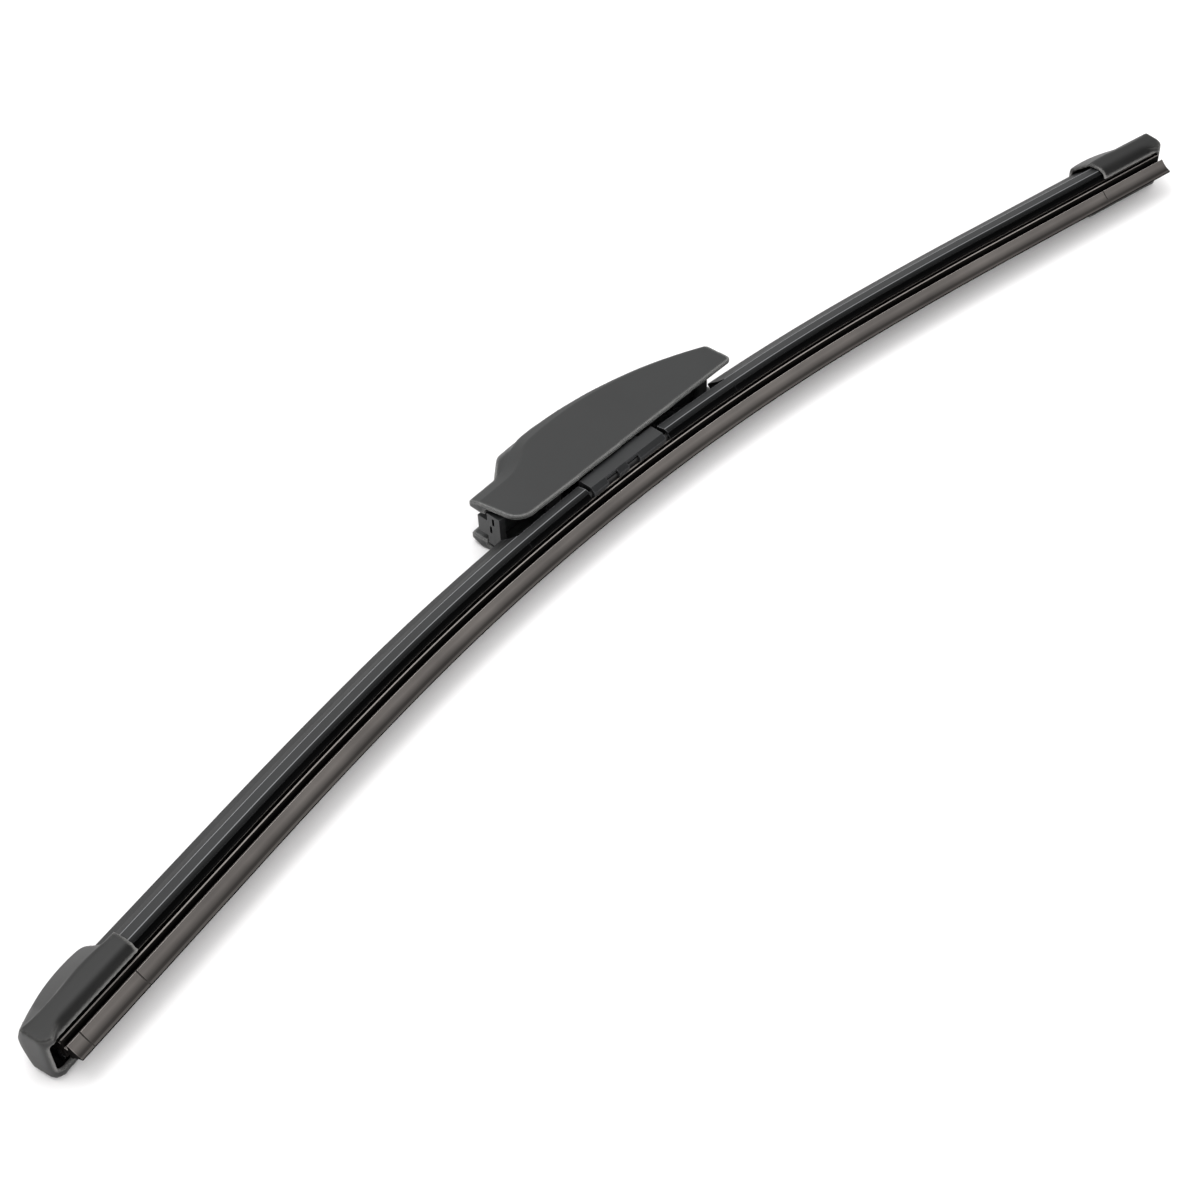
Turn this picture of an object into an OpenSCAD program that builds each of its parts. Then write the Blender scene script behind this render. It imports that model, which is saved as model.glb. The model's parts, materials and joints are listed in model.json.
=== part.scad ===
// Frameless wiper blade for a hook arm, lying on its side.
// The blade runs along X, the glass is towards -Y and Z is across the blade.
// The origin is on the axis of the pivot that the arm rocks about, in the mid-plane.

/* [Blade] */
// Length of the wiping rubber along its bow
rubber_len = 453.8; // [380:0.1:650]
// How far the rubber has slid towards the right end
rubber_slide = 1.5; // [0:0.1:3]
// Distance of the bracket from mid-length, towards the right end
mount_offset = 1; // [-15:0.5:15]
// Height of the pivot above the blade's reference line
pivot_h = 14.4; // [13.5:0.1:18]

/* [Bow] */
// Radius of the bow in the middle
bow_r1 = 720; // [600:10:2000]
// Turn of the middle stretch to each side of mid-length, in degrees
bow_turn1 = 7.96; // [5:0.01:10]
// Radius of the bow towards the ends
bow_r2 = 1500; // [900:10:3000]
// Turn of the end stretch, before the straight tail, in degrees
bow_turn2 = 2.1; // [1:0.01:3]

/* [Spring rails] */
// Thickness of a rail
rail_t = 0.9; // [0.7:0.05:1.1]
// Width of a rail
rail_w = 3.6; // [3.2:0.1:3.8]
// Gap between the two rails
rail_gap = 3.8; // [3.4:0.1:4.2]
// Distance from a rail's end to the outer face of the end cap
rail_inset = 4.5; // [3:0.1:8]
// Depth of the notches that hold the end caps
rail_notch = 0.8; // [0.4:0.1:1.2]

/* [Wiping rubber] */
// Width of the head above the rails
head_w = 5.8; // [5:0.1:6.2]
// Height of the head above the rails
head_h = 2.1; // [1.6:0.1:2.3]
// Width of the two flanges below the rails
flange_w = 6.8; // [6:0.1:7.2]
// Thickness of each flange
flange_t = 0.5; // [0.35:0.05:0.6]
// Height of the groove between the flanges
groove_h = 0.9; // [0.7:0.05:1.2]
// Thickness of the web that lets the wedge tip over
web_t = 0.9; // [0.7:0.05:1.2]
// Height of that web
web_h = 1.3; // [1:0.05:1.6]
// Width of the wedge at its shoulders
wedge_w = 5.3; // [4.6:0.1:6]
// Height of the wedge and lip together
wedge_h = 4.3; // [3.8:0.1:6]
// Thickness of the wiping lip
lip_t = 0.6; // [0.5:0.05:0.9]

/* [Spoiler] */
// Height of the ridge above the reference line
ridge_h = 10.2; // [9:0.1:11]
// Width at the crease between the upper and lower flanks
crease_w = 12.2; // [11.6:0.1:12.6]
// Height of that crease
crease_h = 3.4; // [3:0.1:4]
// Width at the bottom of the lower flanks
skirt_w = 13.6; // [13.4:0.1:13.8]
// Height of the bottom of the lower flanks
skirt_h = 0.35; // [0.1:0.05:0.6]
// Thickness of the lips below the rails
lip_wall = 0.9; // [0.7:0.05:1]
// Width of the slot between those lips
lip_slot = 8.6; // [8:0.1:9]
// Height that is left of the spoiler below the connector
notch_h = 3.2; // [3:0.05:3.3]
// Length of the cut in the ridge, to the left of the pivot
notch_left = 41.6; // [41.6:0.1:50]
// Length of the cut in the ridge, to the right of the pivot
notch_right = 44.8; // [44.8:0.1:54]
// Gap between each spoiler half and the bracket
spoiler_gap = 1.5; // [0.3:0.1:3]

/* [Bracket] */
// Length of the bracket
bracket_len = 30; // [26:0.5:34]
// Width over the bracket
bracket_w = 13.4; // [13.2:0.1:13.5]
// Thickness of the ears that hold the rivet
ear_t = 1; // [0.8:0.05:1.1]
// Height of the deck above the reference line
deck_h = 4.2; // [3.8:0.1:4.4]
// Radius of the ears round the rivet
ear_r = 4.4; // [3.8:0.1:4.6]
// Diameter of the rivet
rivet_d = 5; // [4:0.1:5.4]

/* [Arm hook] */
// Width of the arm that the connector takes
arm_w = 9; // [8:0.1:9]
// Thickness of that arm
arm_t = 4; // [3:0.1:4]
// Inner diameter of the arm's hook
hook_d = 10; // [9.4:0.1:10]

/* [Connector] */
// Thickness of the cheeks beside the hook
cheek_t = 0.8; // [0.7:0.05:0.9]
// Distance from the pivot to the end face of the connector
block_len = 40.6; // [36:0.1:40.6]
// Width of the lower part of the end block
block_w = 11.4; // [10.4:0.1:11.6]
// Width of the rib under the arm
rib_w = 5.6; // [4:0.1:7]
// Distance from the pivot to the cover's hinge, along the blade
hinge_x = 42.5; // [40:0.1:42.5]
// Distance of the cover's hinge below the pivot
hinge_drop = 4.9; // [4:0.1:5.4]
// Diameter of the pegs that the cover turns on
peg_d = 3; // [2.4:0.1:3.4]

/* [Cover] */
// Width of the cover
cover_w = 17; // [16.8:0.1:18]
// Thickness of its walls
cover_wall = 1.4; // [1.2:0.05:1.4]
// Height of the crown's flat top above the pivot, at its summit
crown_h = 14.8; // [14.4:0.1:16]
// Distance of the summit from the pivot, towards the arm's mouth
crown_x = 11.5; // [9:0.1:12]
// Radius of the long falling back of the crown
back_r = 140; // [130:1:170]
// Radius of the brow in front of the summit
brow_r = 15; // [14:0.5:18]
// Turn of the brow, in degrees
brow_turn = 35; // [30:1:38]
// Length of the straight stretch in front of the brow
brow_line = 3.4; // [2:0.1:5]
// Radius of the dip in front of that
dip_r = 13; // [11:0.5:16]
// Height of the bevel along the crown, at the brow
bevel_h = 3.8; // [3:0.1:4]
// Width of that bevel
bevel_w = 1.4; // [1:0.05:1.5]
// Radius of the crease where the bevel narrows along the back
crease_r = 112; // [105:1:125]
// Height of the hood's arch above its shoulders
hood_rise = 4.5; // [3:0.1:5]
// Radius of the hood's crest, seen from the side
hood_r = 90; // [80:1:120]
// Distance from the pivot to the cover's right tip
tip_x = 51.6; // [50:0.1:54]
// Width of the slot that the arm lies in
mouth_w = 10; // [9.6:0.1:10.6]

/* [End caps] */
// Width over an end cap
cap_w = 15.6; // [15.4:0.1:16.4]
// Length of an end cap on its long side
cap_len = 32; // [28:0.5:36]
// How much shorter the other side is
cap_step = 5; // [2:0.5:8]
// Height of the cap's hump
cap_h = 13; // [12.4:0.1:14]
// Thickness of the cap's end wall
cap_wall = 1.5; // [1.2:0.1:2]
// Height of the flat part of its sides
cap_side_h = 4.7; // [4.2:0.1:5]
// Depth of the walls below the reference line
cap_low = 3.4; // [3:0.1:4]
// Radius of the hump's fall towards the outer end
cap_fall_r = 45; // [40:1:80]

/* [Clearances] */
// Clearance round the rails and the rubber's head
rail_play = 0.1; // [0.05:0.01:0.15]
// Clearance of a running fit, on the radius
run_play = 0.05; // [0.03:0.01:0.08]
// Clearance between the arm and what guides it, on each side
arm_play = 0.2; // [0.1:0.05:0.3]
// Clearance round the spoiler inside an end cap
cap_play = 0.12; // [0.08:0.01:0.15]

/* [Hidden] */
// Fragments of a full turn, for the bow and for other round shapes
bow_fn = 720;
$fn = 64;
// A cut reaches this far past a face
eps = 0.5;
// Longer than any cut through the part
far = 60;

half_len = rubber_len / 2;
rail_in = rail_gap / 2;
rail_out = rail_in + rail_w;
cap_end = half_len + rubber_slide + 0.1 + cap_wall;
head_cut_w = head_w + 6 * rail_play;
head_cut_h = head_h + 3 * rail_play;
spoiler_end = cap_end - rail_inset - 0.2;
lip_bottom = -rail_t - rail_play - lip_wall;
cheek_in = arm_w / 2 + arm_play;
cheek_out = cheek_in + cheek_t;
ear_in = bracket_w / 2 - ear_t;
nose_r = hook_d / 2 - arm_play;
cover_in = cover_w / 2 - cover_wall;
rib_top = nose_r;
block_top = 0.9;
block_bottom = -3.9;
brow_deg = neat(brow_turn);
boss_in = cheek_out + 0.5;
peg_end = boss_in + 1.6;
dip_deg = neat(brow_turn - 3);
// Turn of the brow at which the narrowing bevel starts
lead_deg = neat(6.3);
hood_half = cover_w / 2 - bevel_w - 0.2;
hood_wall = 1.4;
hood_drop = 1.6;
// Along a cap, from its outer face: the hump's highest point and its inner end
cap_peak = -21;
hump_start = cap_step - 1 - cap_len;
hood_arc = (hood_half * hood_half + hood_rise * hood_rise) / (2 * hood_rise);

// The turn nearest to a whose sine and cosine have six decimals, so that stretches meet exactly
function neat(a, n = 3000) =
    let (s0 = round(sin(a) * 1e6),
        off = [for (k = [-n : n]) let (s = (s0 + k) / 1e6, c = round(sqrt(1 - s * s) * 1e6) / 1e6)
            abs(c * c + s * s - 1)],
        best = search(min(off), off)[0],
        s = (s0 + best - n) / 1e6)
    atan2(s, round(sqrt(1 - s * s) * 1e6) / 1e6);

// Where an arch starts, counted from +X
arch_from = neat(50);
bow_a1 = neat(bow_turn1);
bow_a2 = neat(bow_turn2);
bow_l1 = bow_a1 * PI / 180 * bow_r1;
bow_l2 = bow_a2 * PI / 180 * bow_r2;
bow_l12 = bow_l1 + bow_l2;
// Stretches of the bow: start, end, radius or 0 for a straight one, and where the arc is hung
BOW = [[-2000, -bow_l12, 0, 0], [-bow_l12, -bow_l1, bow_r2, -bow_l1], [-bow_l1, bow_l1, bow_r1, 0],
    [bow_l1, bow_l12, bow_r2, bow_l1], [bow_l12, 2000, 0, 0]];

function turn(l, r) = l / r * 180 / PI;
// Points of an arc about c, from angle a0 to a1
function arc(c, r, a0, a1, n = 8) =
    [for (i = [0 : n]) c + r * [cos(a0 + (a1 - a0) * i / n), sin(a0 + (a1 - a0) * i / n)]];

// A symmetrical section from the points of its +Z half; the first may be on the mid-plane
module sym(half) polygon(concat(half,
    [for (i = [len(half) - 1 : -1 : 0]) if (half[i][1] > 0) [half[i][0], -half[i][1]]]));

// Moves along an arc of radius r that curves down, by an angle a
module arc_move(r, a) translate([0, -r, 0]) rotate([0, 0, -a]) translate([0, r, 0]) children();

// Sweeps a section (height, width) along that arc from here
module arc_run(r, a, fn = bow_fn) translate([0, -r, 0]) rotate([0, 0, 90 - a])
    rotate_extrude(angle = a, $fn = fn) translate([r, 0]) children();

// Sweeps a section to both sides along a circle that curves down here
module arch(r, fn = bow_fn) translate([0, -r, 0]) rotate([0, 0, arch_from])
    rotate_extrude(angle = 2 * (90 - arch_from), $fn = fn) translate([r, 0]) children();

// Sweeps a section along +X
module line_run(l) rotate([90, 0, 90]) linear_extrude(l) children();

// Carries its children along the bow; s is negative left of mid-length
module at_bow(s) {
    l = abs(s);
    a1 = sign(s) * min(turn(l, bow_r1), bow_a1);
    a2 = sign(s) * min(turn(max(l - bow_l1, 0), bow_r2), bow_a2);
    tail = sign(s) * max(l - bow_l12, 0);
    arc_move(bow_r1, a1) arc_move(bow_r2, a2) translate([tail, 0, 0]) children();
}

// Everything ahead of a frame, or behind it
module ahead(size = 4000) translate([0, -size / 2, -size / 2]) cube(size);
module behind(size = 4000) translate([-size, -size / 2, -size / 2]) cube(size);

// Sweeps a section along the bow from a to b, one stretch of it after the other.
// Each stretch is made too long and is cut on the planes that it shares with the next.
module bow_run(a, b) for (stretch = BOW) {
    lo = max(a, stretch[0]);
    hi = min(b, stretch[1]);
    r = stretch[2];
    if (hi > lo) difference() {
        if (r > 0) at_bow(stretch[3]) arch(r) children();
        else at_bow(lo) line_run(hi - lo + 1) children();
        if (r > 0) at_bow(lo) behind();
        at_bow(hi) ahead();
    }
}

// From the blade's own frame to the pivot
module place() translate([-mount_offset, -pivot_h, 0]) children();

module rubber_section() {
    slot_top = rail_play;
    slot_bottom = -rail_t - rail_play;
    f1 = slot_bottom - flange_t;
    f2 = f1 - groove_h;
    f3 = f2 - flange_t;
    shoulder = f3 - web_h;
    lip_end = shoulder - wedge_h;
    neck = rail_in - 3 * rail_play;
    wedge = [for (i = [0 : 8])
        let (t = i / 8)
        [shoulder - 0.4 - (wedge_h - 0.4) * t, lip_t / 2 + (wedge_w - lip_t) / 2 * pow(1 - t, 1.7)]];
    sym(concat(
        [[head_h, head_w / 2 - 0.5], [head_h - 0.5, head_w / 2]],
        [[slot_top, head_w / 2], [slot_top, neck], [slot_bottom, neck], [slot_bottom, flange_w / 2]],
        [[f1, flange_w / 2], [f1, neck], [f2, neck], [f2, flange_w / 2], [f3, flange_w / 2]],
        [[f3, web_t / 2], [shoulder, web_t / 2], [shoulder, wedge_w / 2 - 0.4]], wedge));
}

module wiping_rubber() color("#3c3a37") place()
    bow_run(rubber_slide - half_len, rubber_slide + half_len) rubber_section();

// One rail, on the +Z side
module rail() {
    end = cap_end - rail_inset;
    difference() {
        bow_run(-end, end) translate([-rail_t, rail_in]) square([rail_t, rail_w]);
        for (s = [8 - end, end - 8]) at_bow(s) translate([0, -rail_t / 2, rail_out])
            cube([3, 3 * rail_t, 2 * rail_notch], center = true);
    }
}

module rail_front() color("#5a5d60") place() rail();
module rail_rear() color("#5a5d60") place() mirror([0, 0, 1]) rail();

// Outline of the spoiler without its hollows; g widens it
module spoiler_outline(g = 0) sym([
    [ridge_h + g, 0], [ridge_h + g - 0.3, 0.5 + g],
    [(ridge_h + crease_h) / 2 - 0.25 + g, crease_w / 4 - 0.15 + g],
    [crease_h, crease_w / 2 + g], [skirt_h, skirt_w / 2 + g],
    [lip_bottom + 0.9, skirt_w / 2 - 0.3 + g], [lip_bottom - g, skirt_w / 2 - 1.4 + g]]);

// What the rails and the rubber take up inside the spoiler and the bracket
module channel_section() {
    translate([0, -head_cut_w / 2]) square([head_cut_h, head_cut_w]);
    translate([-rail_t - rail_play, -rail_out - rail_play])
        square([rail_t + 2 * rail_play, 2 * (rail_out + rail_play)]);
    translate([lip_bottom - eps, -lip_slot / 2]) square([lip_wall + 2 * eps, lip_slot]);
}

module spoiler_section() difference() {
    spoiler_outline();
    channel_section();
    sym([[notch_h + 0.1, crease_w / 2 - 2.2], [ridge_h - 2.2, 0.5]]);
}

// A length of the spoiler from a to b, its ridge cut away from c to d
module spoiler_run(a, b, c, d) difference() {
    bow_run(a, b) spoiler_section();
    bow_run(c, d) translate([notch_h, -far / 2]) square([far / 2, far]);
}

module spoiler_left() color("#37383a") place() {
    start = mount_offset - bracket_len / 2 - spoiler_gap;
    spoiler_run(-spoiler_end, start, mount_offset - notch_left, start + 1);
}
module spoiler_right() color("#37383a") place() {
    start = mount_offset + bracket_len / 2 + spoiler_gap;
    spoiler_run(start, spoiler_end, start - 1, mount_offset + notch_right);
}

// Side view of an ear, with its foot on the deck
module ear_outline() {
    foot = deck_h - pivot_h;
    polygon([[-9, foot - 1], [9, foot - 1], [9, foot], [ear_r * cos(20), -ear_r * sin(20)],
        [0, 0], [-ear_r * cos(20), -ear_r * sin(20)], [-9, foot]]);
    circle(ear_r);
}

// Section of the body, (height, width) above the reference line
module bracket_section() sym([
    [deck_h, bracket_w / 2 - 0.3], [deck_h - 0.3, bracket_w / 2],
    [-0.4, bracket_w / 2], [lip_bottom, bracket_w / 2 - 1.2]]);

module bracket() color("#404245") difference() {
    union() {
        translate([-bracket_len / 2, -pivot_h, 0]) line_run(bracket_len) bracket_section();
        for (m = [0, 1]) mirror([0, 0, m]) translate([0, 0, ear_in])
            linear_extrude(ear_t) ear_outline();
    }
    place() bow_run(-bracket_len, bracket_len) channel_section();
    // Gaps between the claws, on both sides
    for (gap = [[-9.2, 4.6], [-0.6, 4.6]])
        translate([gap[0], lip_bottom - pivot_h - eps, -far / 2])
            cube([gap[1], -lip_bottom - 1 + eps + 0.4, far]);
    cylinder(h = far, r = rivet_d / 2 + run_play, center = true);
    for (m = [0, 1]) mirror([0, 0, m]) translate([0, 0, bracket_w / 2 - 0.7])
        cylinder(h = 0.8, r1 = rivet_d / 2 + run_play, r2 = rivet_d / 2 + run_play + 0.8);
    // Windows that lighten the deck
    for (x = [-11.5, 11.5]) translate([x, deck_h - pivot_h, 0]) rotate([90, 0, 0])
        cylinder(h = 2.6, r = 1.6, center = true);
}

module rivet() color("#8b8e91") {
    cylinder(h = bracket_w, r = rivet_d / 2, center = true);
    for (m = [0, 1]) mirror([0, 0, m]) translate([0, 0, bracket_w / 2 - 0.7])
        cylinder(h = 0.7, r1 = rivet_d / 2, r2 = rivet_d / 2 + 0.7);
}

// Side view of the cheeks and the tail
module cheek_outline() {
    hx = hinge_x;
    hy = -hinge_drop;
    polygon([[-18.5, block_bottom], [-18.5, 5.6], [-16, 7.4], [6, 7.4], [12, 6.4], [hx - 1, hy + 2.3],
        [hx, hy], [hx - 1, hy - 2.1], [14, -6.6], [9, -8], [-5, -8], [-9, -5.6]]);
    translate([hx, hy]) circle(2.3);
}

module connector_body() {
    bridge_x = hook_d / 2 + arm_t + 1.2;
    // Nose that the hook closes round, and the core behind it
    cylinder(h = 2 * cheek_in + 0.2, r = nose_r, center = true);
    translate([-18.5, -nose_r, -cheek_in - 0.1]) cube([18.5, 2 * nose_r, 2 * cheek_in + 0.2]);
    for (m = [0, 1]) mirror([0, 0, m]) translate([0, 0, cheek_in])
        linear_extrude(cheek_t) cheek_outline();
    // End block with the rib that the arm lies on
    translate([-block_len, block_bottom, -block_w / 2])
        cube([block_len - 18.5, block_top - block_bottom, block_w]);
    translate([-block_len, 0, -rib_w / 2]) cube([block_len - 18, rib_top - 0.1, rib_w]);
    // Catch behind the end of the hook
    translate([0, 0, -3.5]) linear_extrude(7)
        polygon([[-21.6, block_bottom], [-18.6, -6], [-18.2, -6], [-18.2, block_bottom + 1],
            [-21.6, block_bottom + 1]]);
    // Wall beyond the hook, and the roof of the tail
    translate([bridge_x, -6.6, -cheek_in - 0.1]) cube([1.3, 12.8, 2 * cheek_in + 0.2]);
    translate([0, 0, -cheek_in - 0.1]) linear_extrude(2 * cheek_in + 0.2)
        polygon([[bridge_x, 6.5], [12, 6.4], [hinge_x - 1, 2.3 - hinge_drop],
            [hinge_x - 1, 1 - hinge_drop], [12, 5], [bridge_x, 5]]);
    // Bar and pegs of the cover's hinge
    translate([hinge_x, -hinge_drop, 0]) {
        cylinder(h = 2 * cheek_out, r = 2.3, center = true);
        cylinder(h = 2 * peg_end, r = peg_d / 2, center = true);
    }
}

module connector() color("#4b4c4e") difference() {
    connector_body();
    cylinder(h = far, r = rivet_d / 2 + run_play, center = true);
    // Snap opening towards the rivet, narrower than it
    translate([-rivet_d / 2 + 0.3, -far, -far / 2]) cube([rivet_d - 0.6, far, far]);
    // Pockets cored from below
    translate([-block_len + 2.2, block_bottom - eps, -block_w / 2 + 1.2])
        cube([block_len - 24.2, 3.4 + eps, block_w - 2.4]);
    translate([-16.6, -nose_r - eps, -cheek_in + 0.8]) cube([9.5, 6.6 + eps, 2 * cheek_in - 1.6]);
    // Two slots in the end face
    for (slot = [[-1.9, 2.1], [-0.8, -1.3]])
        translate([-block_len - eps, slot[0], slot[1]]) cube([2 * eps + 1.2, 0.9, 2.6]);
    // Windows in the cheeks of the tail
    for (x = [17 : 7 : 31]) translate([x, 1.4 - (x - 12) * 0.2, -far / 2]) cube([3.4, 1.3, far]);
}

// Section of the crown, (height, width) from its flat top down
module crown_section(bevel) sym([[0, cover_w / 2 - bevel],
    [-bevel_h, cover_w / 2], [-8, cover_w / 2]]);

// Section of the hood, from its shoulders; g takes it in
module hood_section(g = 0) intersection() {
    translate([hood_rise - hood_arc, 0]) circle(hood_arc - g, $fn = 60);
    translate([-8, g - hood_half]) square([8 + 2 * hood_rise, 2 * (hood_half - g)]);
}

// Frames along the crown's front, from the summit to the left
module crown_frame(i) translate([-crown_x, crown_h, 0]) rotate([0, 180, 0]) {
    if (i == 0) children();
    if (i == 1) arc_move(brow_r, lead_deg) children();
    if (i == 2) arc_move(brow_r, brow_deg) children();
    if (i == 3) arc_move(brow_r, brow_deg) translate([brow_line, 0, 0]) children();
    if (i == 4) arc_move(brow_r, brow_deg) translate([brow_line, 0, 0])
        arc_move(-dip_r, -dip_deg) children();
}

// What lies between two of those frames
module crown_cut(i) difference() {
    children();
    crown_frame(i) behind(200);
    crown_frame(i + 1) ahead(200);
}

// The crown's top, swept along the cover: brow, line, dip and line to the left
module crown_front() {
    crown_cut(0) crown_frame(0) arch(brow_r, 360) crown_section(0);
    crown_cut(1) crown_frame(0) arch(brow_r, 360) crown_section(bevel_w);
    crown_frame(2) line_run(brow_line) crown_section(bevel_w);
    crown_cut(3) crown_frame(3) translate([0, dip_r, 0]) rotate([0, 0, 180])
        rotate_extrude(angle = 180, $fn = 360) translate([dip_r, 0]) mirror([1, 0])
            crown_section(bevel_w);
    crown_frame(4) line_run(30) crown_section(bevel_w);
}

// The crown's long back, where the bevel narrows to nothing
module crown_back() difference() {
    translate([-crown_x, crown_h, 0]) arch(back_r, 360) crown_section(0);
    crown_frame(0) ahead(400);
}

module back_bevel(slope = bevel_w / bevel_h) difference() {
    crown_frame(1) rotate([0, 180, 0]) translate([0, -bevel_h - 0.04, 0])
        arch(crease_r, 360) for (m = [0, 1]) mirror([0, m])
            polygon([[-2, cover_w / 2 + 2 * slope], [9, cover_w / 2 - 9 * slope],
                [9, cover_w], [-2, cover_w]]);
    crown_frame(1) ahead(400);
}

// A stretch of the hood's arch, g thinner all round
module hood(g) translate([-crown_x, crown_h - hood_drop, 0])
    arc_move(hood_r, -16) arc_run(hood_r, 16 + 32, 360) hood_section(g);

// Side view of the cover; the crown trims its top
module cover_outline() {
    left = -41.3;
    low = -10.5;
    polygon(concat([[left, 30], [left, 3.4]], arc([-33.5, -4.4], 6.2, 185, 268, 10),
        [[-15, low], [14, low + 0.5]], arc([tip_x - 1.7, low + 2.4], 1.6, 270, 355, 6),
        [[50.9, 0.6], [50.5, 30]]));
}

// Side view of the room inside
module cover_room() polygon([[-60, -30], [-60, 1.3], [-24, 1.3], [-17, 8], [-13, crown_h - 2.6],
    [-5, crown_h - 2.1], [8, crown_h - 3.3], [20, crown_h - 5.6], [32, crown_h - 9],
    [hinge_x - 0.5, crown_h - 12.6], [hinge_x - 0.5, 40], [80, 40], [80, -30]]);

module cover() color("#46474a") difference() {
    union() {
        difference() {
            intersection() {
                union() {
                    crown_front();
                    crown_back();
                    linear_extrude(cover_w, center = true) polygon([[-60, -40], [-60, 1],
                        [-30, 2], [-22, 4], [-crown_x, crown_h - 6], [11, crown_h - 7.4],
                        [33, crown_h - 12.5], [60, crown_h - 25], [60, -40]]);
                }
                linear_extrude(cover_w, center = true) cover_outline();
            }
            back_bevel();
            translate([-80, -20, -mouth_w / 2]) cube([80 - 17, far, mouth_w]);
            linear_extrude(2 * cover_in, center = true) cover_room();
        }
        difference() {
            hood(0);
            linear_extrude(far, center = true) polygon([[-27.5, 10.5], [-21, 16], [-21, 60],
                [-60, 60], [-60, -17]]);
            linear_extrude(2 * cover_in, center = true) cover_room();
        }
        // Bosses of the hinge
        for (m = [0, 1]) mirror([0, 0, m]) translate([hinge_x, -hinge_drop, boss_in])
            cylinder(h = cover_in - boss_in + 0.3, r = 3.2);
    }
    hood(hood_wall);
    translate([hinge_x, -hinge_drop, 0])
        cylinder(h = 2 * peg_end + 0.2, r = peg_d / 2 + run_play, center = true);
}

// Section of a cap's lower part; the hump stands on it.
// One wall is turned in at the bottom, and the other one, towards -Z, is straight.
module cap_base_section() polygon([[cap_side_h, cap_w / 2], [0, cap_w / 2],
    [-1.2, cap_w / 2 - 0.5], [0.6 - cap_low, cap_w / 2 - 2.2], [-cap_low, 1.2 - cap_w / 2],
    [0.8 - cap_low, -cap_w / 2], [cap_side_h, -cap_w / 2]]);

// Section of the hump down from its crest, g thinner
module hump_section(g = 0) {
    intersection() {
        translate([-2, 0]) circle(2 - g);
        translate([-1.4, -2]) square([2, 4]);
    }
    sym([[-1 - 0.8 * g, 1.7 - g * 0.8],
        [cap_side_h - cap_h, cap_w / 2 - 0.1 - 1.2 * g], [-11 - g, cap_w / 2 - 0.1 - 1.2 * g]]);
}

// Outer shape of the cap for the right end; the outer face is at x = 0
module cap_solid(turned) {
    translate([-cap_len, 0, 0]) line_run(cap_len) mirror([0, turned]) cap_base_section();
    translate([cap_peak, cap_h, 0]) arc_move(cap_fall_r, -15)
        arc_run(cap_fall_r, 15 + 34) hump_section();
}

// What rounding a corner takes away, towards +X and +Y of the arc's centre
module corner(centre, r, m = [0, 0]) translate(centre) mirror([m[0], 0]) mirror([0, m[1]])
    difference() {
        square(far);
        circle(r);
    }

// Height of the hump's crest at x
function crest(x) = cap_h - cap_fall_r + sqrt(cap_fall_r * cap_fall_r - pow(x - cap_peak, 2));

// Side view that bounds the cap: both outer corners and the hump's inner end are rounded
module cap_bound() difference() {
    translate([-cap_len, -cap_low]) square([cap_len, far]);
    corner([-2.4, -0.6], 2.4, [0, 1]);
    corner([-5, crest(-5) - 5], 5);
    corner([hump_start + 2.6, crest(hump_start) - 2.4], 2.6, [1, 0]);
}

// turned puts the straight wall on the other side, towards +Z
module cap(turned = 0) difference() {
    intersection() {
        cap_solid(turned);
        linear_extrude(far, center = true) cap_bound();
    }
    // Room for the spoiler, and the hollow of the hump
    translate([-2 * cap_len, 0, 0]) line_run(2 * cap_len - cap_wall) {
        spoiler_outline(cap_play);
        translate([-far, -lip_slot / 2 - 0.5]) square([far, lip_slot + 1]);
    }
    intersection() {
        translate([cap_peak, cap_h, 0]) arc_move(cap_fall_r, -20)
            arc_run(cap_fall_r, 60) hump_section(1.2);
        translate([-2 * cap_len, 2, -far / 2]) cube([2 * cap_len - cap_wall, far, far]);
    }
    // Shorter side, and the hump's mouth
    translate([-cap_len - eps, -far / 2, 0]) cube([cap_step + eps, far, far]);
    translate([-cap_len - eps, cap_side_h, -far / 2])
        cube([cap_len + eps + hump_start, far, far]);
}

module cap_left() color("#3a3b3d") place() at_bow(-cap_end) rotate([0, 180, 0]) cap(1);
module cap_right() color("#3a3b3d") place() at_bow(cap_end) cap();

wiping_rubber();
rail_front();
rail_rear();
spoiler_left();
spoiler_right();
bracket();
rivet();
connector();
cover();
cap_left();
cap_right();
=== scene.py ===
import json
import math
from functools import partial

import bmesh
import bpy
from mathutils import Matrix, Vector


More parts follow.
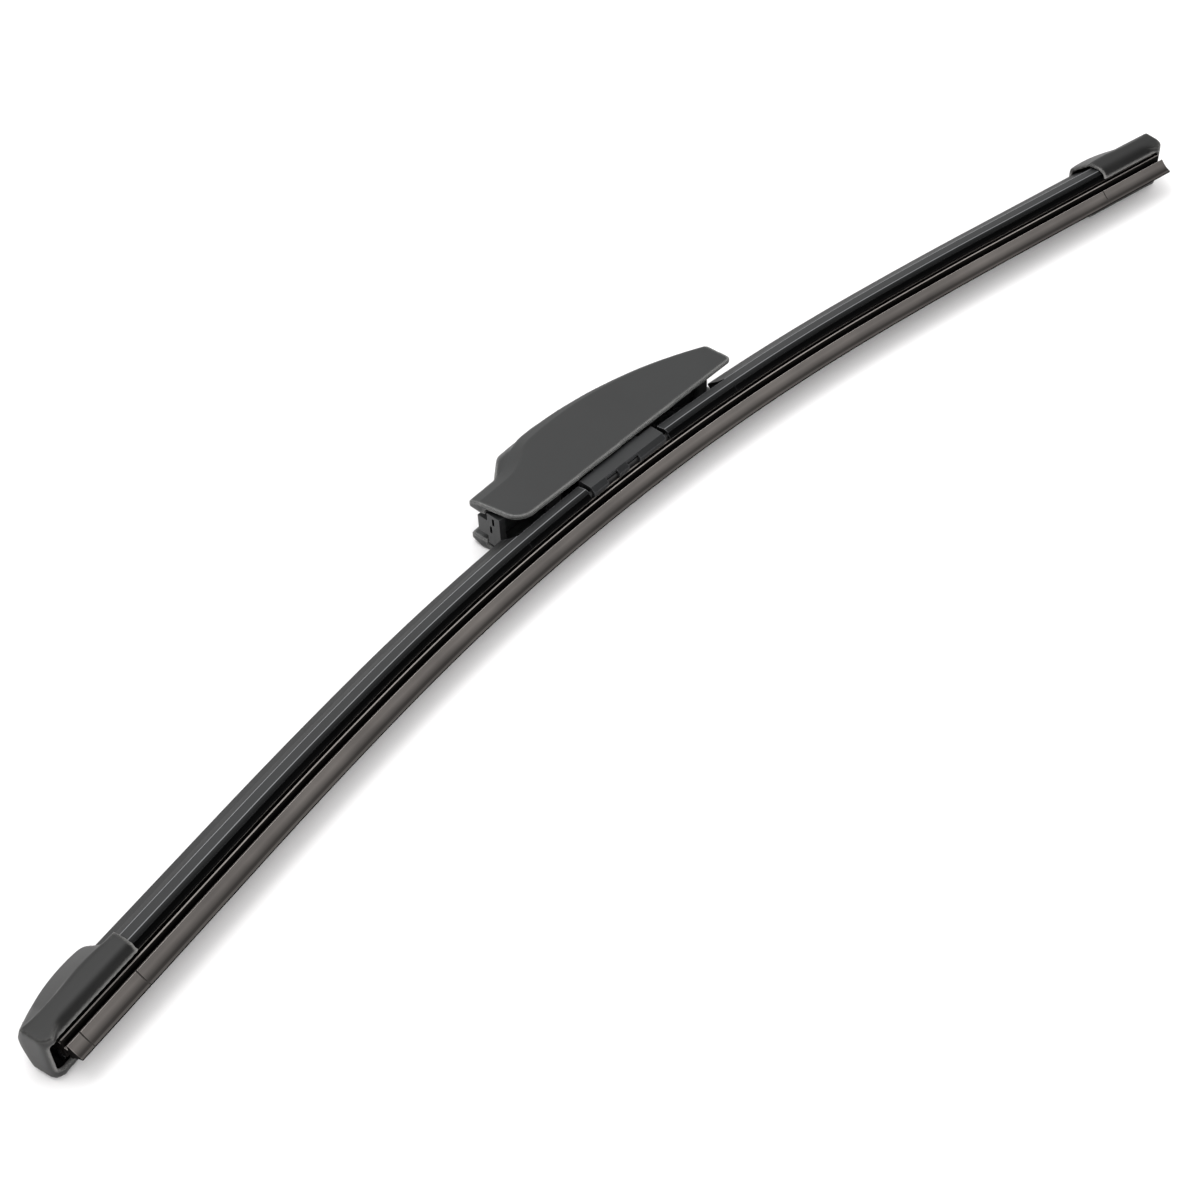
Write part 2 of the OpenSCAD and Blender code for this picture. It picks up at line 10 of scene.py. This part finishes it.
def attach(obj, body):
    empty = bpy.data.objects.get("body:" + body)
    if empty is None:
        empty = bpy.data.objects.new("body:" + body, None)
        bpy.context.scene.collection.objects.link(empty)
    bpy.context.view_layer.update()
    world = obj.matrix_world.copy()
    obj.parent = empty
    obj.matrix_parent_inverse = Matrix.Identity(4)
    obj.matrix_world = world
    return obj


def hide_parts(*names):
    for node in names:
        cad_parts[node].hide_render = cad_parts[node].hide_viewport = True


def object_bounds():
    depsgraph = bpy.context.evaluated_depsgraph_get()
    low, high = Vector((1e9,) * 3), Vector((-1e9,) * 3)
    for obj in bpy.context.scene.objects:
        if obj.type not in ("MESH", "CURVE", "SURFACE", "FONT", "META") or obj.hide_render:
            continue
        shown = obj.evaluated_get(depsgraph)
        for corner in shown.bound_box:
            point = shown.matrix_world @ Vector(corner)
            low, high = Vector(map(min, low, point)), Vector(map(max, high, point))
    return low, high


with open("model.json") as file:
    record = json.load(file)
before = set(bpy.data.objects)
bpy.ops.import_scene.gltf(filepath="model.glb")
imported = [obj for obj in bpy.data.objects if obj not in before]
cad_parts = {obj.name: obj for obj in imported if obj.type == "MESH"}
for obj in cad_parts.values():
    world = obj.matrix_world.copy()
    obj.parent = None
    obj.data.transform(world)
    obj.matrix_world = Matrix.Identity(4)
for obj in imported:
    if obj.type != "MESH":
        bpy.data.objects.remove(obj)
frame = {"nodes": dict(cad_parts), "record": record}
cad_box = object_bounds()
MM = 0.001


# Colours
def linear(code):
    """sRGB hex to linear RGBA, with the numbers of the sRGB standard."""
    out = []
    for i in (1, 3, 5):
        c = int(code[i:i + 2], 16) / 255
        out.append(c / 12.92 if c <= 0.04045 else ((c + 0.055) / 1.055) ** 2.4)
    return (*out, 1.0)


# Camera
# The photograph's camera: its place, and its right, up and forward axes, found from the blade's lines
CAM_AT = Vector((-329.10, -326.02, 423.27)) * MM
CAM_RIGHT = Vector((0.70209749, -0.71208083, 0.0))
CAM_UP = Vector((0.51438012, 0.50716853, 0.69151513))
CAM_FORWARD = Vector((0.49241467, 0.48551104, -0.72236198))
CAM_ROLL = math.radians(-2.68)
# Width of the sensor in millimetres
SENSOR = 36.0
# The focal length is 2178.4 pixels of an image that is 1200 wide
FOCAL = 2178.4 / 1200 * SENSOR
# Nearest and farthest that the camera sees, in metres
CAM_NEAR = 0.01
CAM_FAR = 20


def make_camera():
    """The camera, with its axes turned about its line of sight by the roll."""
    data = bpy.data.cameras.new("camera")
    data.sensor_width = SENSOR
    data.lens = FOCAL
    data.clip_start = CAM_NEAR
    data.clip_end = CAM_FAR
    data.dof.use_dof = False
    cam = bpy.data.objects.new("camera", data)
    bpy.context.scene.collection.objects.link(cam)
    right = CAM_RIGHT * math.cos(CAM_ROLL) + CAM_UP * math.sin(CAM_ROLL)
    up = CAM_UP * math.cos(CAM_ROLL) - CAM_RIGHT * math.sin(CAM_ROLL)
    turn = Matrix((right, up, -CAM_FORWARD)).transposed().to_4x4()
    cam.matrix_world = Matrix.Translation(CAM_AT) @ turn
    bpy.context.scene.camera = cam


make_camera()


# Materials
def add_node(tree, kind, settings=None, stops=(), **inputs):
    """Adds a node with its settings and a ramp's (place, grey) stops. An input has its own name,
    with _ for a space, or _ and its number. A socket given for it is linked, a value is set."""
    node = tree.nodes.new(kind)
    for key, value in (settings or {}).items():
        setattr(node, key, value)
    # A ramp comes with two stops
    for _ in stops[2:]:
        node.color_ramp.elements.new(0.5)
    for i, (place, grey) in enumerate(stops):
        node.color_ramp.elements[i].position = place
        node.color_ramp.elements[i].color = (grey, grey, grey, 1)
    for key, value in inputs.items():
        number = key[1:]
        socket = node.inputs[int(number) if number.isdigit() else key.replace("_", " ")]
        if isinstance(value, bpy.types.NodeSocket):
            tree.links.new(value, socket)
        else:
            socket.default_value = value
    return node


# Settings of a node that blends two colours, and of one that darkens a colour
MIX = {"data_type": "RGBA"}
MULTIPLY = {"data_type": "RGBA", "blend_type": "MULTIPLY"}
# Rays that feel for edges and grooves
FEELERS = {"samples": 6}
MM_PER_M = 1000
# Refraction of the plastics, the rubbers and the coats alike
IOR = 1.5
# The slow drift of tone and the fine grain, and the share of the light tone by the drift
DRIFT_NOISE = {"Detail": 3.0, "Roughness": 0.55}
GRAIN_NOISE = {"Detail": 2.0, "Roughness": 0.6}
GRAIN_STRENGTH = 0.6
DRIFT_TONE = ((0.3, 0.0), (0.7, 1.0))
# How far the roughness drifts below and above its own value
ROUGH_LESS = 0.04
ROUGH_MORE = 0.06
# Share of the painted edge highlight, by how nearly the rounded and the true normal agree
EDGE_HIGHLIGHT = ((0.9, 1.0), (0.99, 0.0))
# Tone of the painted highlight on marked corners and on the spoiler's edges
HIGHLIGHT_TONE = "#77787a"
# Distance within which neighbouring faces paint shade into a groove, and the light that this painted shade
# leaves by how open the air is
GROOVE = 2.5 * MM
GROOVE_SHADE = ((0.25, 0.12), (0.6, 1.0))
# +Y shares of a face's normal at which the painted shade on a face towards the glass is full and gone
UNDER_DARK = -0.35
UNDER_LIGHT = -0.05
# Light left by the painted shade in a trim cut
CUT_LIGHT = 0.25


def blank(name):
    """A material with no nodes yet, and the call that adds a node to it."""
    mat = bpy.data.materials.new(name)
    mat.use_nodes = True
    mat.node_tree.nodes.clear()
    return mat, partial(add_node, mat.node_tree)


def painted_highlights(add, tone, mark, edge_highlight, edge_mm):
    """The tone with a painted highlight along its edges, if a tone is given for it, and on its marked
    corners.
    """
    if edge_highlight:
        rounded = add("ShaderNodeBevel", FEELERS, Radius=edge_mm * MM).outputs["Normal"]
        true = add("ShaderNodeNewGeometry").outputs["Normal"]
        agree = add("ShaderNodeVectorMath", {"operation": "DOT_PRODUCT"}, _0=rounded, _1=true)
        highlight = add("ShaderNodeValToRGB", stops=EDGE_HIGHLIGHT, Fac=agree.outputs["Value"])
        tone = add("ShaderNodeMix", MIX, _0=highlight.outputs["Color"], _6=tone, _7=linear(edge_highlight)).outputs[2]
    # Painted highlight on the corners that a swept piece marks with 1
    return add("ShaderNodeMix", MIX, _0=mark, _6=tone, _7=linear(HIGHLIGHT_TONE)).outputs[2]


def painted_light_and_shade(add, mark, facing_light, below):
    """Share of the light kept under painted shade in grooves, on faces towards the glass and in trim cuts,
    times painted light and shade by how far a face turns across the blade."""
    # Painted shade in grooves
    air = add("ShaderNodeAmbientOcclusion", FEELERS, Distance=GROOVE).outputs["AO"]
    left = add("ShaderNodeValToRGB", stops=GROOVE_SHADE, Fac=air).outputs["Color"]
    facing = add("ShaderNodeSeparateXYZ", Vector=add("ShaderNodeNewGeometry").outputs["Normal"])
    # Painted light and shade by how far a face turns across the blade
    if facing_light:
        across = add("ShaderNodeMath", {"operation": "ABSOLUTE"}, _0=facing.outputs["Z"])
        side = add("ShaderNodeValToRGB", stops=facing_light, Fac=across.outputs["Value"])
        left = add("ShaderNodeMix", MULTIPLY, _0=1.0, _6=left, _7=side.outputs["Color"]).outputs[2]
    # Painted shade on faces towards the glass
    under = add("ShaderNodeMapRange", Value=facing.outputs["Y"], From_Min=UNDER_DARK,
                From_Max=UNDER_LIGHT, To_Min=below, To_Max=1.0)
    left = add("ShaderNodeMix", MULTIPLY, _0=1.0, _6=left, _7=under.outputs["Result"]).outputs[2]
    # Painted shade in trim cuts
    cut = add("ShaderNodeMapRange", Value=mark, From_Min=-1.0, From_Max=0.0, To_Min=CUT_LIGHT, To_Max=1.0)
    return add("ShaderNodeMix", MULTIPLY, _0=1.0, _6=left, _7=cut.outputs["Result"]).outputs[2]


def moulded(name, dark, light, rough, grain_mm, grain_depth, patch_mm=18, edge_highlight=None, edge_mm=0.3,
            stretch=(1, 1, 1), specular=0.5, facing_light=None, below=1.0):
    """Black moulded plastic, rubber or coated steel: a fine grain, a slow drift of tone, painted
    highlights on the edges and painted shade in grooves and cuts. facing_light are (share of the face's
    normal across the blade, painted light that it keeps), and below is the light that painted shade leaves
    on a face towards the glass."""
    mat, add = blank(name)
    at = add("ShaderNodeMapping", Vector=add("ShaderNodeTexCoord").outputs["Object"],
             Scale=stretch).outputs["Vector"]
    slow = add("ShaderNodeTexNoise", Vector=at, Scale=MM_PER_M / patch_mm, **DRIFT_NOISE).outputs["Fac"]
    fine = add("ShaderNodeTexNoise", Vector=at, Scale=MM_PER_M / grain_mm, **GRAIN_NOISE).outputs["Fac"]
    drift = add("ShaderNodeValToRGB", stops=DRIFT_TONE, Fac=slow).outputs["Color"]
    tone = add("ShaderNodeMix", MIX, _0=drift, _6=linear(dark), _7=linear(light)).outputs[2]
    # The swept pieces mark their painted highlight lines with 1 and their trim cuts, in painted shade,
    # with -1
    mark = add("ShaderNodeAttribute", {"attribute_name": "mark"}).outputs["Fac"]
    tone = painted_highlights(add, tone, mark, edge_highlight, edge_mm)
    left = painted_light_and_shade(add, mark, facing_light, below)
    tone = add("ShaderNodeMix", MULTIPLY, _0=1.0, _6=tone, _7=left).outputs[2]
    # Painted shade takes away shine as well
    shine = add("ShaderNodeMath", {"operation": "MULTIPLY"}, _0=left, _1=specular).outputs["Value"]
    roughness = add("ShaderNodeMapRange", Value=slow, To_Min=rough - ROUGH_LESS, To_Max=rough + ROUGH_MORE)
    bump = add("ShaderNodeBump", Height=fine, Distance=grain_depth * MM, Strength=GRAIN_STRENGTH)
    shader = add("ShaderNodeBsdfPrincipled", Base_Color=tone, IOR=IOR, Specular_IOR_Level=shine,
                 Roughness=roughness.outputs["Result"], Normal=bump.outputs["Normal"])
    add("ShaderNodeOutputMaterial", Surface=shader.outputs["BSDF"])
    return mat


# The real grain of these moulds and coats is under 0.1 mm, too fine to show, so grain_mm is coarser
MATERIALS = {
    # Extruded rubber: graphite leaves the wedge grey-brown and streaked; painted light and shade by facing
    # band the wedge and light the flanges, painted shade blackens the grooves, and edges get a painted
    # highlight
    "wiping_rubber": moulded(
        "natural rubber, graphite coated", "#6f6a67", "#837d79", rough=0.55, grain_mm=0.35,
        grain_depth=0.02, patch_mm=9, edge_highlight="#b5afaa", stretch=(0.35, 1, 1), specular=0.3,
        facing_light=((0.25, 0.03), (0.62, 0.32), (0.78, 0.52), (0.92, 0.14), (0.965, 0.14),
                    (0.988, 0.5), (1.0, 1.5))),
    # Rolled strip under a thin coat: near black and even, with a low sheen
    "spring_steel": moulded(
        "black coated spring steel", "#0c0c0d", "#101011", rough=0.4, grain_mm=0.5, grain_depth=0.01),
    # Extruded elastomer: satin black, with painted light on faces that look across the blade, painted
    # shade on faces towards the glass, and painted highlight lines along its edges and marked corners
    "spoiler_elastomer": moulded(
        "spoiler elastomer", "#131415", "#1a1b1c", rough=0.55, grain_mm=0.3, grain_depth=0.02,
        edge_highlight=HIGHLIGHT_TONE, edge_mm=0.25, stretch=(0.5, 1, 1), specular=0.34,
        facing_light=((0.6, 0.55), (0.8, 0.65), (0.9, 1.3), (1.0, 1.45)), below=0.2),
    # Pressed sheet under baked powder: satin dark grey, with a painted highlight along the edges
    "coated_steel": moulded(
        "powder-coated steel", "#1b1c1d", "#222324", rough=0.44, grain_mm=0.4, grain_depth=0.02,
        edge_highlight="#48494b"),
    # Turned and plated pin: smooth, and the glossiest of the pieces
    "rivet_steel": moulded(
        "black zinc plated steel", "#18191a", "#202122", rough=0.38, grain_mm=0.4, grain_depth=0.01),
    # Moulded with glass fibre: a duller and greyer black, with the deepest grain, and a painted highlight
    # along the edges
    "connector_plastic": moulded(
        "glass-filled nylon", "#222324", "#2d2e2e", rough=0.5, grain_mm=0.25, grain_depth=0.03,
        edge_highlight="#4d4e4f"),
    # Moulded in a smooth mould: slick black, with a broad painted highlight along its edges
    "cover_plastic": moulded(
        "moulded acetal", "#191a1a", "#1f2020", rough=0.44, grain_mm=0.3, grain_depth=0.02,
        patch_mm=26, edge_highlight="#8a8a88", edge_mm=1.5),
    # The same from a finely grained mould: less shine, with as light a painted highlight along its edges
    "cap_plastic": moulded(
        "moulded acetal, fine grain", "#171717", "#1d1d1c", rough=0.47, grain_mm=0.3, grain_depth=0.02,
        edge_highlight="#858482", edge_mm=1.4, specular=0.36),
}


def floor_material():
    """Matt white paint: pale and even, with no mirror image of the blade."""
    mat, add = blank("pale studio floor")
    shader = add("ShaderNodeBsdfPrincipled", Base_Color=linear("#f7f6f6"), Roughness=0.9, IOR=1.4)
    add("ShaderNodeOutputMaterial", Surface=shader.outputs["BSDF"])
    return mat


# CAD nodes
SLOT_OF = {s["node"]: s["material_slot"] for s in frame["record"]["subparts"]}
# Points of neighbouring CAD faces that are this near to each other, in millimetres, are one point
WELD_MM = 0.002
# Radius that a node's edges are rounded to, in millimetres, and the least angle of such an edge
EDGE_R = {"bracket": 0.2, "connector": 0.25, "rail_front": 0.08, "rail_rear": 0.08, "rivet": 0.1}
EDGE_STEPS = 2
EDGE_ANGLE = math.radians(28)
# Mouldings that are soft all over: width of a cell in millimetres, and smoothing steps
COVER_SOFT = (0.3, 6)
CAP_SOFT = (0.34, 26)
# Share of the way to its neighbours' middle that a point moves in one smoothing step
SOFT_STEP = 0.5


def join_faces(obj):
    """Joins the faces of a CAD node, which come in apart, into one skin."""
    weld = obj.modifiers.new("one skin", "WELD")
    weld.merge_threshold = WELD_MM * MM


def round_edges(obj, radius_mm):
    """Rounds the edges as a press or a mould does."""
    bevel = obj.modifiers.new("rounded edges", "BEVEL")
    bevel.width = radius_mm * MM
    bevel.segments = EDGE_STEPS
    bevel.limit_method = "ANGLE"
    bevel.angle_limit = EDGE_ANGLE
    bevel.harden_normals = True


def soften(obj, cell_mm, steps):
    """Rounds every edge and corner softly, as on a plastic moulding."""
    cells = obj.modifiers.new("even skin", "REMESH")
    cells.mode = "VOXEL"
    cells.voxel_size = cell_mm * MM
    cells.use_smooth_shade = True
    soft = obj.modifiers.new("soft edges", "SMOOTH")
    soft.factor = SOFT_STEP
    soft.iterations = steps


# Swept pieces
# All sizes are in millimetres. The bow and the ends are the CAD source's own, and the outlines
# follow its outlines to about half a millimetre, with small steps that it leaves out.
# A place along the blade is an arc length from the crown of its bow, and an outline's point is
# (height above the reference line, width[, radius of its own corner]).
# Radius and degrees of each arc of the bow, from the crown outwards; beyond them it is straight
BOW = ((720, 7.96), (1500, 2.1))
# Where the rivet is, along the blade and above the reference line
PIVOT = (1, 14.4)
# Distance between the rings of a sweep
STEP = 3.0
# Edges of a swept piece that turn more than this stay sharp
SHARP_ANGLE = math.radians(14)

# Rounding of an outline: a corner stays as it is if it bends less than this, in radians, or if its
# arc would start nearer to it than this, and an arc takes no more than this share of a side
LEAST_BEND = 0.1
LEAST_REACH = 0.01
SIDE_SHARE = 0.45
ARC_STEPS = 3

# Wiping rubber: its ends, its usual corner, and half of its outline from the head to the shoulder
RUBBER_ENDS = (-225.4, 228.4)
RUBBER_R = 0.1
RUBBER_HALF = [
    (2.1, 2.4), (1.6, 2.9), (0.1, 2.9), (0.1, 1.6), (-1.0, 1.6), (-1.0, 3.4, 0.12),
    (-1.5, 3.4, 0.12), (-1.5, 1.6), (-2.4, 1.6), (-2.4, 3.4, 0.12), (-2.9, 3.4, 0.12),
    (-2.9, 0.45), (-4.2, 0.45), (-4.2, 2.3, 0.2), (-4.55, 2.65, 0.2),
]
# The wedge below the shoulder narrows from its full width to the lip, with hollow sides
WEDGE_FROM = -4.6
WEDGE_DEEP = 3.9
WEDGE_W = 5.3
WEDGE_HOLLOW = 1.7
WEDGE_R = 0.02
WEDGE_STEPS = 8
LIP_T = 0.6
# Places where the moulded lip was trimmed, the size of the marks, and the height below which they
# cut, with the least half width that they leave
TRIMS = (-221.2, -201.8, 201.0)
TRIM_LONG = 0.4
TRIM_DEEP = 0.15
TRIM_BELOW = -4.1
TRIM_LEFT = 0.05

# Spoiler: the outer end, the inner end of the full length and the inner end of the low length
SPOILER_ENDS = {"spoiler_left": (-225.3, -40.6, -15.5), "spoiler_right": (225.3, 45.8, 17.5)}
SPOILER_R = 0.08
# Halves of its outline: top of the full length, top of the low length, and the lips below them
# that hold the rails
CREST = [(10.2, 0, 0.3), (9.9, 0.5, 0.3), (6.65, 3.0, 0.5), (3.4, 6.1, 0.5)]
LOW_TOP = [(3.2, 6.146, 0.05)]
RAIL_LIPS = [
    (0.35, 6.8, 0.6), (-1.1, 6.42, 0.12), (-1.15, 6.08, 0.12), (-0.8, 5.95, 0.1),
    (-1.9, 5.0, 0.15), (-1.9, 4.3, 0.15), (-1.0, 4.3), (-1.0, 5.6), (0.1, 5.6), (0.1, 3.2), (2.4, 3.2),
]
# Whole outline of the hollow in the ridge, and its corners
HOLLOW = [(3.3, 3.9), (8.0, 0.5), (8.0, -0.5), (3.3, -3.9)]
HOLLOW_R = 0.2
# Corners with a painted highlight line: height, width and how strong; and how far round them it reaches
HIGHLIGHT_LINES = [(3.4, 6.1, 1.0), (0.35, 6.8, 0.6)]
HIGHLIGHT_REACH = 0.2

# Caps: a place from which the blade is straight, and the length and the least height of the part
# of a cap that is the outer corner of its hump
CAPS = ("cap_left", "cap_right")
TAIL_FROM = 160.0
CORNER_LONG = 8.5
CORNER_FROM = 2.0


def on_bow(s, n, z):
    """Point at arc length s, height n above the reference line and width z, in metres."""
    left, x, y, turn = abs(s), 0.0, 0.0, 0.0
    for radius, degrees in BOW:
        a = min(left / radius, math.radians(degrees))
        x += radius * (math.sin(turn + a) - math.sin(turn))
        y += radius * (math.cos(turn + a) - math.cos(turn))
        turn += a
        left -= a * radius
    x += left * math.cos(turn) + n * math.sin(turn)
    y += n * math.cos(turn) - left * math.sin(turn)
    return ((math.copysign(x, s) - PIVOT[0]) * MM, (y - PIVOT[1]) * MM, z * MM)


def fillet(points, radius):
    """Rounds the corners of a closed outline to the radius, or to their own."""
    out = []
    for i, corner in enumerate(points):
        at = Vector(corner[:2])
        back = Vector(points[i - 1][:2]) - at
        on = Vector(points[(i + 1) % len(points)][:2]) - at
        bend = math.pi - back.angle(on)
        own = corner[2] if len(corner) > 2 else radius
        reach = min(own * math.tan(bend / 2), SIDE_SHARE * back.length, SIDE_SHARE * on.length)
        if bend < LEAST_BEND or reach < LEAST_REACH:
            out.append(tuple(at))
            continue
        start = at + back.normalized() * reach
        end = at + on.normalized() * reach
        for k in range(ARC_STEPS + 1):
            t = k / ARC_STEPS
            out.append(tuple((1 - t) ** 2 * start + 2 * t * (1 - t) * at + t * t * end))
    return out


def both_sides(half):
    """A whole outline from its +Z half, listed from top to bottom."""
    return half + [(p[0], -p[1], *p[2:]) for p in reversed(half) if p[1] > 0]


def stations(a, b):
    """Even places from a to b, about a step apart, with at least two steps."""
    count = max(2, round(abs(b - a) / STEP))
    return [a + (b - a) * i / count for i in range(count + 1)]


def ring(bm, s, outline):
    """The outline's points at a place along the blade."""
    return [bm.verts.new(on_bow(s, n, z)) for n, z in outline]


def highlight_line(n, z):
    """Mark of a place on the spoiler's outline: how strong its painted highlight is."""
    return max(highlight if math.hypot(n - at_n, abs(z) - at_z) < HIGHLIGHT_REACH else 0.0
               for at_n, at_z, highlight in HIGHLIGHT_LINES)


def trimmed(n, z):
    """Mark of a place on the rubber's outline at a trim: only the wedge is cut."""
    return -1.0 if n < TRIM_BELOW else 0.0


def skin(bm, first, second, outline, mark):
    """Faces between two rings, each with the mark of its place on the outline, if there is one."""
    count = len(first)
    marks = bm.faces.layers.float.get("mark") or bm.faces.layers.float.new("mark")
    for i in range(count):
        k = (i + 1) % count
        face = bm.faces.new((first[i], first[k], second[k], second[i]))
        if mark:
            face[marks] = mark((outline[i][0] + outline[k][0]) / 2, (outline[i][1] + outline[k][1]) / 2)


def sweep(bm, places, outline, mark=None):
    """Skin of one outline along the places, open at both ends; gives its first and last ring."""
    rings = [ring(bm, s, outline) for s in places]
    for first, second in zip(rings, rings[1:]):
        skin(bm, first, second, outline, mark)
    return rings[0], rings[-1]


def close(bm, *loops):
    """Fills the face that the loops of points bound."""
    edges = []
    for loop in loops:
        for i, vert in enumerate(loop):
            pair = (vert, loop[(i + 1) % len(loop)])
            edges.append(bm.edges.get(pair) or bm.edges.new(pair))
    bmesh.ops.triangle_fill(bm, use_beauty=True, edges=edges)


def finish_piece(bm, node):
    """Turns the mesh into a piece on the blade that stands for the CAD node."""
    bmesh.ops.recalc_face_normals(bm, faces=bm.faces)
    mesh = bpy.data.meshes.new(node)
    bm.to_mesh(mesh)
    bm.free()
    for face in mesh.polygons:
        face.use_smooth = True
    mesh.set_sharp_from_angle(angle=SHARP_ANGLE)
    obj = bpy.data.objects.new("swept_" + node, mesh)
    bpy.context.scene.collection.objects.link(obj)
    mesh.materials.append(MATERIALS[SLOT_OF[node]])
    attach(obj, "blade")
    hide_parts(node)
    return obj


def rubber_outline():
    """Head, two flanges, web and wedge of the wiping rubber."""
    half = list(RUBBER_HALF)
    for i in range(1, WEDGE_STEPS + 1):
        t = i / WEDGE_STEPS
        width = LIP_T / 2 + (WEDGE_W - LIP_T) / 2 * (1 - t) ** WEDGE_HOLLOW
        half.append((WEDGE_FROM - WEDGE_DEEP * t, width, WEDGE_R))
    return fillet(both_sides(half), RUBBER_R)


def trim_outline(outline):
    """The rubber's outline with its wedge cut thinner."""
    return [(n, math.copysign(max(abs(z) - TRIM_DEEP, TRIM_LEFT), z) if n < TRIM_BELOW else z)
            for n, z in outline]


def make_rubber():
    """One sweep from end to end, with a shallow cut at each trim."""
    bm = bmesh.new()
    outline = rubber_outline()
    cut = trim_outline(outline)
    places = [(s, outline) for s in stations(*RUBBER_ENDS)
              if all(abs(s - trim) > TRIM_LONG for trim in TRIMS)]
    for trim in TRIMS:
        places += [(trim - TRIM_LONG / 2, outline), (trim, cut), (trim + TRIM_LONG / 2, outline)]
    places.sort(key=lambda place: place[0])
    rings = [ring(bm, *place) for place in places]
    for (start, _), (end, _), first, second in zip(places, places[1:], rings, rings[1:]):
        at_trim = any(abs((start + end) / 2 - trim) < TRIM_LONG / 2 for trim in TRIMS)
        skin(bm, first, second, outline, trimmed if at_trim else None)
    close(bm, rings[0])
    close(bm, rings[-1])
    finish_piece(bm, "wiping_rubber")


def make_spoiler(node):
    """A full length with the hollow ridge, and a low length under the connector."""
    outer, notch, inner = SPOILER_ENDS[node]
    # Both tops sit on the same lips, so the two lengths share their lower points
    whole = fillet(both_sides(CREST + RAIL_LIPS), SPOILER_R)
    low = fillet(both_sides(LOW_TOP + RAIL_LIPS), SPOILER_R)
    bm = bmesh.new()
    outside = sweep(bm, stations(outer, notch), whole, highlight_line)
    inside = sweep(bm, stations(outer, notch), fillet(HOLLOW, HOLLOW_R))
    for ends in zip(outside, inside):
        close(bm, *ends)
    for end in sweep(bm, stations(notch, inner), low, highlight_line):
        close(bm, end)
    finish_piece(bm, node)


def along_tail(at):
    """Arc length and height of a point of the blade's straight outer stretch, in millimetres."""
    base = Vector(on_bow(TAIL_FROM, 0, 0))
    on = Vector(on_bow(TAIL_FROM + 1, 0, 0))
    run = (on - base) / MM
    middle = PIVOT[0] * MM
    off = Vector((abs(at.x + middle) - middle, at.y, 0)) - base
    return TAIL_FROM + off.dot(run) / MM, (off.y * run.x - off.x * run.y) / MM


def make_cap(node):
    """The cap as in the CAD, with the outer corner of its hump closed and rounded."""
    cad = frame["nodes"][node]
    bm = bmesh.new()
    bm.from_mesh(cad.data)
    bmesh.ops.remove_doubles(bm, verts=bm.verts, dist=WELD_MM * MM)
    places = [(v.co.copy(), *along_tail(cad.matrix_world @ v.co)) for v in bm.verts]
    end = max(s for _, s, _ in places)
    corner = [bm.verts.new(co) for co, s, n in places if s > end - CORNER_LONG and n > CORNER_FROM]
    hull = bmesh.ops.convex_hull(bm, input=corner)
    spare = {v for v in hull["geom_interior"] + hull["geom_unused"] if isinstance(v, bmesh.types.BMVert)}
    bmesh.ops.delete(bm, geom=list(spare), context="VERTS")
    bm.transform(cad.matrix_world)
    obj = finish_piece(bm, node)
    soften(obj, *CAP_SOFT)


make_rubber()
for name in SPOILER_ENDS:
    make_spoiler(name)
for name in CAPS:
    make_cap(name)

for name, obj in frame["nodes"].items():
    obj.data.materials.clear()
    obj.data.materials.append(MATERIALS[SLOT_OF[name]])
    if name in EDGE_R:
        join_faces(obj)
        round_edges(obj, EDGE_R[name])
join_faces(frame["nodes"]["cover"])
soften(frame["nodes"]["cover"], *COVER_SOFT)


# Stage and light
# Half the floor's side, and how far it lies under the blade, in metres
FLOOR_REACH = 6.0
FLOOR_DROP = 0.0001
FLOOR_CORNERS = ((-1, -1), (1, -1), (1, 1), (-1, 1))
# Key light, aimed at the rivet: place, width and depth in metres, and watts
KEY_AT = (-0.1, 0.25, 0.9)
KEY_SIZE = (0.8, 0.6)
KEY_POWER = 5
# Light of the sky by the +Y share of its direction: what lights the blade, and what it mirrors
FILL_SKY = ((-1, 1.7), (-0.5, 1.5), (0, 1.05), (0.5, 0.65), (1, 0.45))
MIRRORED_SKY = ((-1, 0.03), (-0.4, 0.08), (0, 0.32), (0.4, 0.95), (0.6, 1.05), (1, 0.95))


def make_floor():
    """A wide plain floor just under the side that the blade lies on."""
    z = cad_box[0][2] - FLOOR_DROP
    corners = [(x * FLOOR_REACH, y * FLOOR_REACH, z) for x, y in FLOOR_CORNERS]
    mesh = bpy.data.meshes.new("floor")
    mesh.from_pydata(corners, [], [(0, 1, 2, 3)])
    floor = bpy.data.objects.new("floor", mesh)
    bpy.context.scene.collection.objects.link(floor)
    mesh.materials.append(floor_material())


def make_key():
    """One large soft light over the blade."""
    data = bpy.data.lights.new("key", "AREA")
    data.shape = "RECTANGLE"
    data.size, data.size_y = KEY_SIZE
    data.energy = KEY_POWER
    light = bpy.data.objects.new("key", data)
    light.location = KEY_AT
    light.rotation_mode = "QUATERNION"
    light.rotation_quaternion = (-Vector(KEY_AT)).to_track_quat("-Z", "Y")
    bpy.context.scene.collection.objects.link(light)


def make_world():
    """Soft light that is stronger from the front, and for reflections a studio that is bright
    behind the blade and dark in front of it."""
    world = bpy.data.worlds.new("studio")
    world.use_nodes = True
    add = partial(add_node, world.node_tree)
    towards = add("ShaderNodeSeparateXYZ", Vector=add("ShaderNodeTexCoord").outputs["Generated"])
    across = add("ShaderNodeMapRange", Value=towards.outputs["Y"], From_Min=-1).outputs["Result"]
    skies = []
    for stops in (FILL_SKY, MIRRORED_SKY):
        greys = [((share + 1) / 2, grey) for share, grey in stops]
        skies.append(add("ShaderNodeValToRGB", stops=greys, Fac=across).outputs["Color"])
    glossy = add("ShaderNodeLightPath").outputs["Is Glossy Ray"]
    mixed = add("ShaderNodeMix", MIX, _0=glossy, _6=skies[0], _7=skies[1]).outputs[2]
    background = world.node_tree.nodes["Background"]
    world.node_tree.links.new(mixed, background.inputs["Color"])
    background.inputs["Strength"].default_value = 1
    bpy.context.scene.world = world


make_floor()
make_world()
make_key()
bpy.context.scene.view_settings.view_transform = "Standard"
